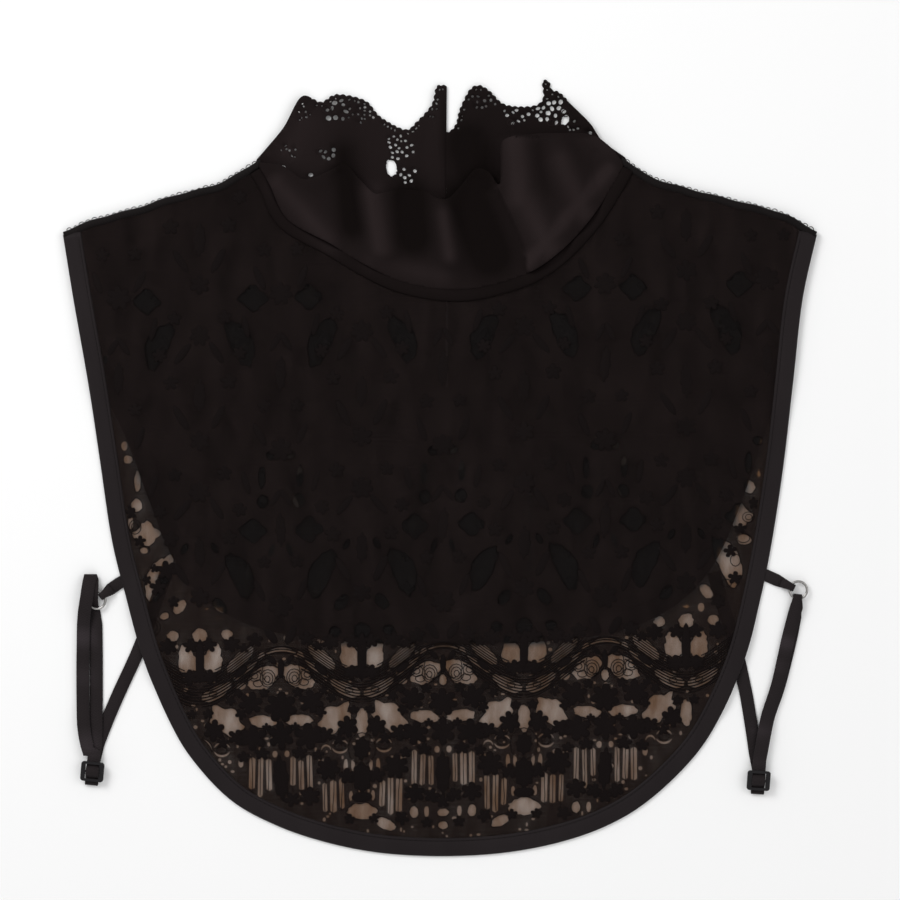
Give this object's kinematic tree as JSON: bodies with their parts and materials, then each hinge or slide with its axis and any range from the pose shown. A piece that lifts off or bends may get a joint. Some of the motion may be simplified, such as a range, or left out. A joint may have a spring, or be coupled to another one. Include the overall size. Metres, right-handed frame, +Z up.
{
  "type": "detachable lace collar with bib",
  "caption": "Soft stand-up lace collar on a sleeveless lace front and back, with satin-bound edges and adjustable elastic side straps, laid flat with its front up.",
  "frame": {"origin": "middle of the bounding box's bottom, on the table under the laid collar", "axes": "+Z up off the table through the thin layers, +Y from the lower edge of the front towards the collar, +X towards the right as it is seen from above with the front up"},
  "size_m": [0.377, 0.387, 0.0099],
  "materials": {
    "lace": "black lace on fine net",
    "collar_lace": "black doubled lace",
    "seam_lace": "overlocked black seam",
    "binding": "soft satin binding",
    "elastic": "matt woven elastic",
    "ring_metal": "bright metal"
  },
  "bodies": {
    "root": {"front_panel": "lace", "back_panel": "lace", "collar_front": "collar_lace", "collar_back_left": "collar_lace", "collar_back_right": "collar_lace", "neck_seam": "seam_lace", "shoulder_seam_left": "seam_lace", "shoulder_seam_right": "seam_lace", "binding_front": "binding", "binding_back": "binding", "strap_elastic_left": "elastic", "strap_elastic_right": "elastic", "strap_tab_left": "elastic", "strap_tab_right": "elastic", "strap_ring_left": "ring_metal", "strap_ring_right": "ring_metal", "strap_slider_left": "ring_metal", "strap_slider_right": "ring_metal"}
  },
  "joints": []
}
